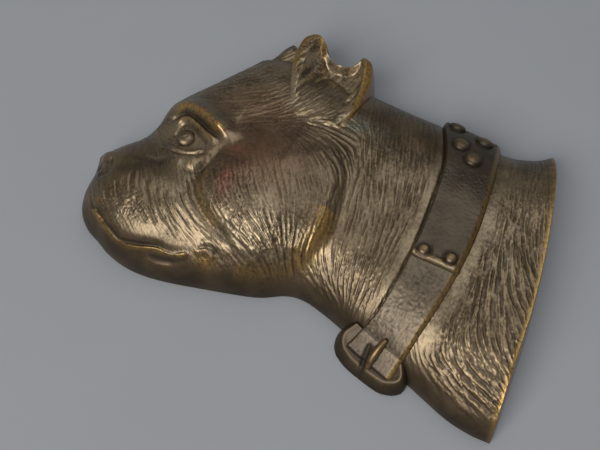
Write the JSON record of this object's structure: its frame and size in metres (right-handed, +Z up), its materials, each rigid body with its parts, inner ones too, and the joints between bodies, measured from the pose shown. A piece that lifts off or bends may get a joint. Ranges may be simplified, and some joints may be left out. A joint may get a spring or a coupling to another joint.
{
  "type": "paperweight",
  "caption": "Cast bronze relief paperweight: a dog's head and collared neck in profile, lying on a flat back that rests on papers.",
  "frame": {"origin": "centre of the footprint, on the desk under the flat back", "axes": "+X from the nose to the cut edge of the neck, +Y from the throat to the ears, +Z up from the desk"},
  "size_m": [0.1375, 0.0971, 0.0236],
  "materials": {
    "bronze_patina": "cast bronze, brown patina with a grey bloom in the fur",
    "bronze_dark": "cast bronze, dark brown patina with a fine pebbled skin",
    "bronze_rubbed": "cast bronze rubbed to a golden brown by handling"
  },
  "bodies": {
    "root": {"head_casting": "bronze_patina", "near_ear": "bronze_patina", "far_ear": "bronze_patina", "eyeball": "bronze_dark", "collar_strap": "bronze_dark", "collar_strap_end": "bronze_dark", "nape_stud_1": "bronze_rubbed", "nape_stud_2": "bronze_rubbed", "nape_stud_3": "bronze_rubbed", "nape_stud_4": "bronze_rubbed", "lap_rivet_1": "bronze_rubbed", "lap_rivet_2": "bronze_rubbed", "buckle_frame": "bronze_rubbed", "buckle_prong": "bronze_rubbed"}
  },
  "joints": []
}
